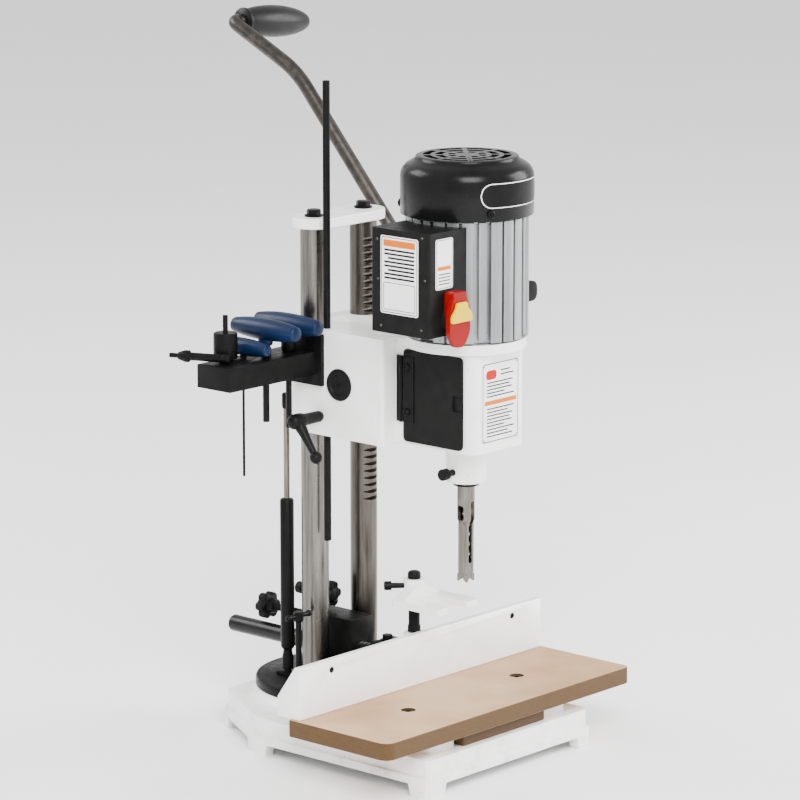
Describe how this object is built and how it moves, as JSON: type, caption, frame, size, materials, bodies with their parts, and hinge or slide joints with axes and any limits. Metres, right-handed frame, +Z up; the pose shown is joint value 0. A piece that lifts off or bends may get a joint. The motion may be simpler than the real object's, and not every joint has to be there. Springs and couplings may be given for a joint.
{
  "type": "benchtop hollow-chisel mortising machine",
  "caption": "Bench mortiser: a motor head with hollow chisel rides two columns by rack and long handle over a cast base with wooden table, sliding fence and fork hold-down.",
  "frame": {"origin": "bottom centre of the bounding box, on the bench surface", "axes": "+X to the operator's right, +Y to the back, +Z up, parallel to the spindle and the columns"},
  "size_m": [0.487, 0.5762, 0.7695],
  "materials": {
    "white_paint": "smooth semi-gloss enamel",
    "black_oxide": "satin black",
    "black_plastic": "moulded satin",
    "ground_steel": "ground, lightly oiled",
    "dark_steel": "dark plated",
    "aluminium": "as extruded",
    "fibreboard": "sanded fibreboard",
    "blue_plastic": "soft moulded grip",
    "red_plastic": "glossy",
    "yellow_plastic": "glossy"
  },
  "bodies": {
    "base": {"base_casting": "white_paint", "table_board": "fibreboard", "board_batten": "fibreboard", "board_screw_left": "black_oxide", "board_screw_right": "black_oxide"},
    "columns": {"column_flange": "black_oxide", "left_column": "ground_steel", "rack_column": "ground_steel", "column_cap": "white_paint", "cap_bolt_left": "black_oxide", "cap_bolt_right": "black_oxide", "fence_block": "black_oxide", "gas_bracket": "black_oxide", "gas_cylinder": "black_oxide"},
    "column_lock": {"swivel_lock": "black_oxide"},
    "fence_feed": {"fence_pinion": "ground_steel", "fence_feed_knob": "black_plastic"},
    "fence_lock": {"fence_lock_knob": "black_plastic"},
    "block_clamp": {"block_clamp_knob": "black_plastic"},
    "fence_slide": {"fence_bar": "dark_steel", "fence_bracket": "black_oxide", "fence": "white_paint"},
    "post": {"hold_down_post": "black_oxide"},
    "hold_down": {"hold_down_fork": "white_paint"},
    "hold_down_screw": {"hold_down_bolt": "black_oxide"},
    "head": {"head_casting": "white_paint", "gear_plug": "black_plastic", "tool_holder": "black_oxide", "door_hinge": "black_oxide", "motor_body": "aluminium", "stator": "dark_steel", "fan_cover": "black_plastic", "chisel_bushing": "black_oxide", "hollow_chisel": "ground_steel", "switch_box": "black_plastic", "terminal_box": "black_plastic", "cord_gland": "black_plastic", "gas_rod": "ground_steel", "spare_bushing": "black_oxide", "chuck_key": "black_oxide"},
    "feed": {"feed_pinion": "ground_steel", "handle_hub": "dark_steel", "handle_arm": "dark_steel"},
    "grip": {"handle_grip": "black_plastic"},
    "stop_rod": {"depth_rod": "black_oxide"},
    "stop_lever": {"depth_lock_lever": "black_oxide"},
    "hex_key_large": {"large_key_handle": "blue_plastic", "large_key_shaft": "black_oxide"},
    "hex_key_medium": {"medium_key_handle": "blue_plastic", "medium_key_shaft": "black_oxide"},
    "hex_key_small": {"small_key_handle": "blue_plastic", "small_key_shaft": "black_oxide"},
    "door": {"access_door": "black_plastic"},
    "spindle": {"motor_shaft": "ground_steel", "cooling_fan": "black_plastic", "drill_chuck": "ground_steel", "auger_bit": "ground_steel"},
    "bushing_screw": {"chisel_screw": "black_oxide"},
    "paddle": {"switch_paddle": "red_plastic"},
    "key_tab": {"safety_key": "yellow_plastic"}
  },
  "joints": [
    {"name": "column_swivel", "type": "hinge", "parent": "base", "child": "columns", "pos_m": [-0.03047, -0.03256, 0.06], "axis": [0, 0, 1], "range_deg": [-180, 180]},
    {"name": "column_lock_turn", "type": "hinge", "parent": "columns", "child": "column_lock", "pos_m": [-0.11047, -0.04456, 0.1], "axis": [0, 0, 1], "range_deg": [-90, 90]},
    {"name": "fence_travel", "type": "slide", "parent": "columns", "child": "fence_slide", "axis": [0, 1, 0], "range_m": [-0.03, 0.015]},
    {"name": "fence_feed_turn", "type": "hinge", "parent": "columns", "child": "fence_feed", "pos_m": [-0.03047, -0.05256, 0.0733], "axis": [1, 0, 0], "range_deg": [-120, 240]},
    {"name": "fence_lock_turn", "type": "hinge", "parent": "columns", "child": "fence_lock", "pos_m": [-0.02247, 0.03344, 0.1195], "axis": [0, 1, 0], "range_deg": [-360, 360]},
    {"name": "block_clamp_turn", "type": "hinge", "parent": "columns", "child": "block_clamp", "pos_m": [-0.03047, -0.01156, 0.1515], "axis": [0, 1, 0], "range_deg": [-360, 360]},
    {"name": "post_swivel", "type": "hinge", "parent": "fence_slide", "child": "post", "pos_m": [-0.03047, -0.14256, 0.15], "axis": [0, 0, 1], "range_deg": [-90, 90]},
    {"name": "hold_down_travel", "type": "slide", "parent": "post", "child": "hold_down", "axis": [0, 0, 1], "range_m": [-0.025, 0]},
    {"name": "hold_down_screw_turn", "type": "hinge", "parent": "hold_down", "child": "hold_down_screw", "pos_m": [-0.03047, -0.14256, 0.183], "axis": [-0.7071, 0.7071, 0], "range_deg": [-360, 360]},
    {"name": "head_travel", "type": "slide", "parent": "columns", "child": "head", "axis": [0, 0, 1], "range_m": [-0.1, 0.04], "stiffness_N_per_m": 300, "springref_m": 1.05},
    {"name": "feed_turn", "type": "hinge", "parent": "head", "child": "feed", "pos_m": [-0.03047, -0.09256, 0.409], "axis": [1, 0, 0], "range_deg": [-60, 125]},
    {"name": "grip_spin", "type": "hinge", "parent": "feed", "child": "grip", "pos_m": [0.11753, 0.26926, 0.75578], "axis": [0.9959, 0, -0.0906], "continuous": true},
    {"name": "stop_rod_travel", "type": "slide", "parent": "head", "child": "stop_rod", "axis": [0, 0, 1], "range_m": [-0.06, 0.15]},
    {"name": "stop_lever_turn", "type": "hinge", "parent": "head", "child": "stop_lever", "pos_m": [-0.11047, -0.06456, 0.371], "axis": [1, 0, 0], "range_deg": [-40, 40]},
    {"name": "door_swing", "type": "hinge", "parent": "head", "child": "door", "pos_m": [-0.07687, -0.16416, 0.4], "axis": [0, 0, 1], "range_deg": [-95, 0]},
    {"name": "spindle_spin", "type": "hinge", "parent": "head", "child": "spindle", "pos_m": [-0.03047, -0.21656, 0.4], "axis": [0, 0, 1], "continuous": true},
    {"name": "bushing_screw_turn", "type": "hinge", "parent": "head", "child": "bushing_screw", "pos_m": [-0.06047, -0.21656, 0.324], "axis": [1, 0, 0], "range_deg": [-360, 360]},
    {"name": "paddle_swing", "type": "hinge", "parent": "head", "child": "paddle", "pos_m": [-0.10747, -0.26086, 0.534], "axis": [1, 0, 0], "range_deg": [-75, 0]},
    {"name": "key_tab_pull", "type": "slide", "parent": "paddle", "child": "key_tab", "axis": [0, -1, 0], "range_m": [0, 0.012]},
    {"name": "large_key_lift", "type": "slide", "parent": "head", "child": "hex_key_large", "axis": [0, 0, 1], "range_m": [0, 0.06]},
    {"name": "medium_key_lift", "type": "slide", "parent": "head", "child": "hex_key_medium", "axis": [0, 0, 1], "range_m": [0, 0.06]},
    {"name": "small_key_lift", "type": "slide", "parent": "head", "child": "hex_key_small", "axis": [0, 0, 1], "range_m": [0, 0.06]}
  ],
  "couplings": [
    {"joint": "feed_turn", "follows": "head_travel", "rad_per_m": -21.053},
    {"joint": "fence_feed_turn", "follows": "fence_travel", "rad_per_m": -133.33}
  ]
}
